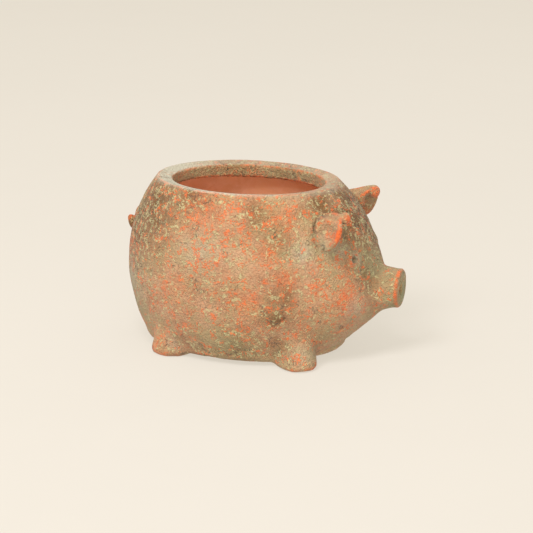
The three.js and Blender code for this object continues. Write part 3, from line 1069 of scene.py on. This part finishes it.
def weatheredClay():
    look = weathered
    material, tree, shader = newMaterial("weatheredClay", look["roughness"])
    where = lay(tree, "TexCoord").outputs["Object"]
    grain = place(tree, clayGrain, {"Position": where, "Per metre": look["grainPerMetre"]})
    pale, bright, scrapes = (strokesOf(tree, where, look[kind]) for kind in ("pale", "bright", "scrapes"))

    skin = over(tree, coverOf(tree, where, look["pink"]), tones["clay"], tones["clayPink"])
    for layer in look["blotches"]:
        skin = coat(tree, skin, coverOf(tree, where, layer), layer["strength"], layer["tone"])
    for name, tone, strength in look["washes"]:
        wash = dict(look["wash"], shift=look["wash"]["shift"] + strength)
        feeds = {"Value": coverOf(tree, where, wash), "To Min": look["washLeast"]}
        worn = lay(tree, "MapRange", feeds).outputs[0]
        skin = coat(tree, skin, sums(tree, "MULTIPLY", mark(tree, name), worn), strength, tone)
    layer = look["rubbed"]
    skin = coat(tree, skin, coverOf(tree, where, layer), layer["strength"], layer["tone"])

    skin = coat(tree, skin, pale["Outline"], look["pale"]["outline"], "smudge")
    for layer, laid in ((look["pale"], pale), (look["bright"], bright), (look["scrapes"], scrapes)):
        skin = coat(tree, skin, laid["Strokes"], layer["strength"], layer["tone"])

    skin = coat(tree, skin, mark(tree, "band"), look["band"], "sage")
    for layer in look["lastCoats"]:
        cover = sums(tree, "MULTIPLY", mark(tree, layer["mark"]), coverOf(tree, where, layer))
        skin = coat(tree, skin, cover, layer["strength"], layer["tone"])
    tree.links.new(skin, shader.inputs["Base Color"])

    feeds = {"Value": grain["Grain"], "To Min": look["roughFrom"], "To Max": look["roughTo"]}
    tree.links.new(lay(tree, "MapRange", feeds).outputs[0], shader.inputs["Roughness"])
    height = sums(tree, "MULTIPLY", grain["Grain"], look["grainHeight"])
    for part, gain in (
        (pale["Ridge"], look["pale"]["height"]),
        (bright["Ridge"], look["bright"]["height"]),
        (scrapes["Strokes"], look["scrapes"]["height"]),
        (grain["Pits"], look["pitHeight"]),
    ):
        height = lay(tree, "Math", {0: part, 1: gain, 2: height}, operation="MULTIPLY_ADD").outputs[0]
    bump = lay(tree, "Bump", {"Strength": 1.0, "Distance": look["bumpDistance"], "Height": height})
    tree.links.new(bump.outputs[0], shader.inputs["Normal"])
    shader.inputs["Specular IOR Level"].default_value = look["specular"]
    shader.inputs["Sheen Weight"].default_value = look["sheen"]
    shader.inputs["Sheen Roughness"].default_value = look["sheenRoughness"]
    return material


indoorLook = dict(
    roughness=0.88, specular=0.25, grainPerMetre=700.0, grainHeight=0.3, pitHeight=0.4,
    bumpStrength=0.4, bumpDistance=0.0005, deep=0.5, hollow=0.5,
    pale=dict(perMetre=22.0, shift=11.0, amount=0.5, edge=0.35, fine=0.3),
    stains=dict(perMetre=60.0, shift=12.0, amount=0.4, edge=0.3, fine=0.3),
)


def insideClay():
    look = indoorLook
    material, tree, shader = newMaterial("insideClay", look["roughness"])
    where = lay(tree, "TexCoord").outputs["Object"]
    grain = place(tree, clayGrain, {"Position": where, "Per metre": look["grainPerMetre"]})
    skin = over(tree, coverOf(tree, where, look["pale"]), tones["inside"], tones["insidePale"])
    stains = sums(tree, "MULTIPLY", coverOf(tree, where, look["stains"]), look["deep"])
    skin = over(tree, stains, skin, tones["insideDeep"])
    # painted shade: the inner wall is darker in its creases and hollows
    hollowShade = sums(tree, "MULTIPLY", mark(tree, "hollow"), look["hollow"])
    skin = over(tree, hollowShade, skin, tones["insideDeep"])
    tree.links.new(skin, shader.inputs["Base Color"])
    raised = sums(tree, "MULTIPLY", grain["Grain"], look["grainHeight"])
    height = sums(tree, "SUBTRACT", raised, sums(tree, "MULTIPLY", grain["Pits"], look["pitHeight"]))
    feeds = {"Strength": look["bumpStrength"], "Distance": look["bumpDistance"], "Height": height}
    tree.links.new(lay(tree, "Bump", feeds).outputs[0], shader.inputs["Normal"])
    shader.inputs["Specular IOR Level"].default_value = look["specular"]
    return material


outside, inside = weatheredClay(), insideClay()
for node, piece in pieces.items():
    piece.data.materials.append(outside)
    if node == "pot_body":
        piece.data.materials.append(inside)
        indoors = np.zeros(len(piece.data.vertices), np.float32)
        piece.data.attributes["indoors"].data.foreach_get("value", indoors)
        for face in piece.data.polygons:
            face.material_index = int(all(indoors[v] > 0.5 for v in face.vertices))
    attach(piece, "root")
    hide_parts(node)
print("clay aged and placed")


# The studio: a pale floor, pale air, soft lamps, and the camera.

studio = dict(
    floor=colour(242, 234, 218), radius=7.0, segments=96, roughness=0.95, paper=0.7, air=1.0,
    tone=colour(112, 109, 108), mottleTone=colour(108, 105, 104), mottleShare=0.3,
    mottle={"Per metre": 3.0, "Amount": 0.5, "Edge": 0.4},
    lampTint=(1, 0.99, 0.97),
    lamps=dict(
        key=dict(spot=(-0.6, -1.7, 2.0), aim=(0, 0, 0.07), size=0.9, power=50.0),
        fill=dict(spot=(1.2, -1.9, 0.3), aim=(0, 0, 0.07), size=1.0, power=20.0),
        back=dict(spot=(0.2, 1.6, 1.5), aim=(0, 0, 0.1), size=1.2, power=3.0),
        top=dict(spot=(0.0, -0.7, 1.6), aim=(0, 0.03, 0.12), size=0.5, power=9.0),
    ),
)


def studioFloor():
    shape = bmesh.new()
    bmesh.ops.create_circle(shape, cap_ends=True, segments=studio["segments"], radius=studio["radius"])
    mesh = bpy.data.meshes.new("studioFloor")
    shape.to_mesh(mesh)
    shape.free()
    material, tree, shader = newMaterial("paperFloor", studio["roughness"])
    where = lay(tree, "TexCoord").outputs["Object"]
    mottle = place(tree, patchyCover, dict(studio["mottle"], Position=where))[0]
    share = sums(tree, "MULTIPLY", mottle, studio["mottleShare"])
    tint = over(tree, share, studio["tone"], studio["mottleTone"])
    tree.links.new(tint, shader.inputs["Base Color"])
    shader.inputs["Emission Color"].default_value = studio["floor"]
    shader.inputs["Emission Strength"].default_value = studio["paper"]
    shader.inputs["Specular IOR Level"].default_value = 0.0
    mesh.materials.append(material)
    stand("studioFloor", mesh)


def lamp(name, spot, aim, size, power):
    light = bpy.data.lights.new(name, "AREA")
    light.shape, light.size, light.energy, light.color = "DISK", size, power, studio["lampTint"]
    holder = stand(name, light)
    holder.location = spot
    holder.rotation_euler = (Vector(aim) - Vector(spot)).to_track_quat("-Z", "Y").to_euler()


def air():
    world = bpy.data.worlds.new("air")
    bpy.context.scene.world = world
    world.use_nodes = True
    backdrop = world.node_tree.nodes["Background"]
    backdrop.inputs["Color"].default_value = studio["floor"]
    backdrop.inputs["Strength"].default_value = studio["air"]


view = dict(turn=19.04, rise=17.41, away=1.3, lens=103.3, sensor=36, aimZ=0.072,
            shiftX=0.0356, shiftY=-0.0156)


def setCamera():
    target = Vector((mouthX * mm, 0, view["aimZ"]))
    a, e = math.radians(view["turn"]), math.radians(view["rise"])
    back = Vector((math.sin(a) * math.cos(e), -math.cos(a) * math.cos(e), math.sin(e)))
    lens = bpy.data.cameras.new("camera")
    lens.lens, lens.sensor_width = view["lens"], view["sensor"]
    lens.shift_x, lens.shift_y = view["shiftX"], view["shiftY"]
    camera = stand("camera", lens)
    camera.location = target + back * view["away"]
    camera.rotation_euler = (-back).to_track_quat("-Z", "Y").to_euler()
    bpy.context.scene.camera = camera


studioFloor()
air()
for name, settings in studio["lamps"].items():
    lamp(name, **settings)
setCamera()
bpy.context.scene.view_settings.view_transform = "Standard"

print("studio ready")
